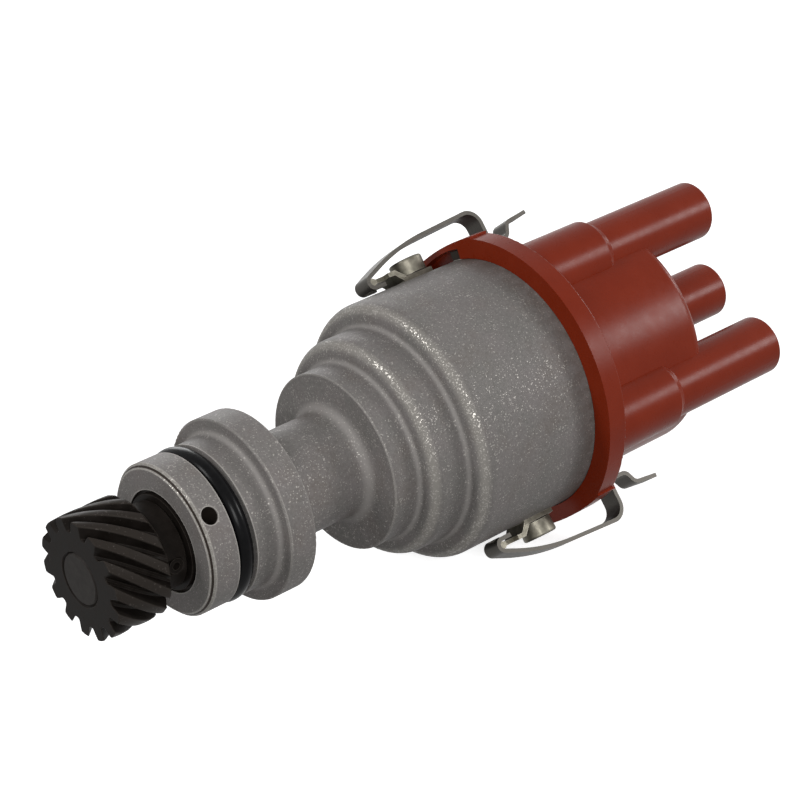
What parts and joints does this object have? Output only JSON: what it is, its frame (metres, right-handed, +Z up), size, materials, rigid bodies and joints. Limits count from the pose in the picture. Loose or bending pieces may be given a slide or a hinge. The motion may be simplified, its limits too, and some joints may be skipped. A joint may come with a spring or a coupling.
{
  "type": "ignition_distributor",
  "caption": "Ignition distributor with contact breaker, centrifugal advance, helical drive gear, sprung clips and a moulded cap with high-tension towers",
  "frame": {"origin": "on the shaft's axis, in the plane of the flange's seating face", "axes": "+X along the shaft from the drive gear to the cap, +Z up, -Y towards the viewer"},
  "size_m": [0.2133, 0.08, 0.08],
  "materials": {
    "cast_body": "matte",
    "seal_rubber": "satin",
    "ground_steel": "satin",
    "gear_steel": "satin",
    "bronze": "satin",
    "sheet_steel": "satin",
    "weight_iron": "matte",
    "spring_steel": "polished",
    "felt": "matte",
    "plated_steel": "satin",
    "moulded_resin": "satin",
    "contact_brass": "satin",
    "terminal_alloy": "satin",
    "carbon": "matte",
    "clip_steel": "satin"
  },
  "bodies": {
    "body": {"housing": "cast_body", "collar_seal": "seal_rubber", "lower_bush": "bronze", "upper_bush": "bronze", "thrust_washer": "ground_steel", "upper_washer": "ground_steel", "breaker_plate": "sheet_steel", "plate_screws": "plated_steel", "arm_post": "ground_steel", "arm_spring": "spring_steel", "fixed_contact": "sheet_steel", "contact_screw": "plated_steel", "condenser": "plated_steel", "lead_grommet": "seal_rubber", "clip_brackets": "plated_steel", "clip_screws": "plated_steel"},
    "shaft": {"drive_shaft": "ground_steel", "drive_gear": "gear_steel", "gear_pin": "ground_steel", "advance_plate": "sheet_steel", "advance_springs": "spring_steel", "sleeve_ring": "spring_steel"},
    "weight_a": {"bob_weight_a": "weight_iron"},
    "weight_b": {"bob_weight_b": "weight_iron"},
    "cam": {"cam_sleeve": "ground_steel", "felt_wick": "felt", "rotor_arm": "moulded_resin", "rotor_electrode": "contact_brass"},
    "breaker": {"breaker_arm": "sheet_steel"},
    "cap": {"distributor_cap": "moulded_resin", "outer_terminals": "terminal_alloy", "centre_terminal": "terminal_alloy", "carbon_brush": "carbon", "brush_spring": "spring_steel"},
    "upper_clip": {"clip_left": "clip_steel"},
    "lower_clip": {"clip_right": "clip_steel"}
  },
  "joints": [
    {"name": "shaft_spin", "type": "hinge", "parent": "body", "child": "shaft", "pos_m": [0, 0, 0], "axis": [1, 0, 0], "continuous": true},
    {"name": "advance", "type": "hinge", "parent": "shaft", "child": "cam", "pos_m": [0.06, 0, 0], "axis": [1, 0, 0], "range_deg": [0, 10.7], "stiffness_Nm_per_rad": 0.3, "springref_deg": -5.73, "deforming": ["advance_springs"]},
    {"name": "weight_a_swing", "type": "hinge", "parent": "shaft", "child": "weight_a", "pos_m": [0.0492, 0.0155, 0], "axis": [-1, 0, 0], "range_deg": [0, 18.1]},
    {"name": "weight_b_swing", "type": "hinge", "parent": "shaft", "child": "weight_b", "pos_m": [0.0492, -0.0155, 0], "axis": [-1, 0, 0], "range_deg": [0, 18.1]},
    {"name": "points", "type": "hinge", "parent": "body", "child": "breaker", "pos_m": [0.06, -0.017, 0.0115], "axis": [1, 0, 0], "range_deg": [-0.8, 0]},
    {"name": "cap_lift", "type": "slide", "parent": "body", "child": "cap", "axis": [1, 0, 0], "range_m": [0, 0.045]},
    {"name": "upper_clip_swing", "type": "hinge", "parent": "body", "child": "upper_clip", "pos_m": [0.0657, 0.02502, 0.02779], "axis": [0, -0.7431, 0.6691], "range_deg": [0, 95.2]},
    {"name": "lower_clip_swing", "type": "hinge", "parent": "body", "child": "lower_clip", "pos_m": [0.0657, -0.02502, -0.02779], "axis": [0, 0.7431, -0.6691], "range_deg": [0, 95.2]}
  ],
  "couplings": [
    {"joint": "weight_a_swing", "follows": "advance", "ratio": 1.68},
    {"joint": "weight_b_swing", "follows": "advance", "ratio": 1.68},
    {"joint": "upper_clip_swing", "follows": "cap_lift", "rad_per_m": 36.8},
    {"joint": "lower_clip_swing", "follows": "cap_lift", "rad_per_m": 36.8}
  ]
}
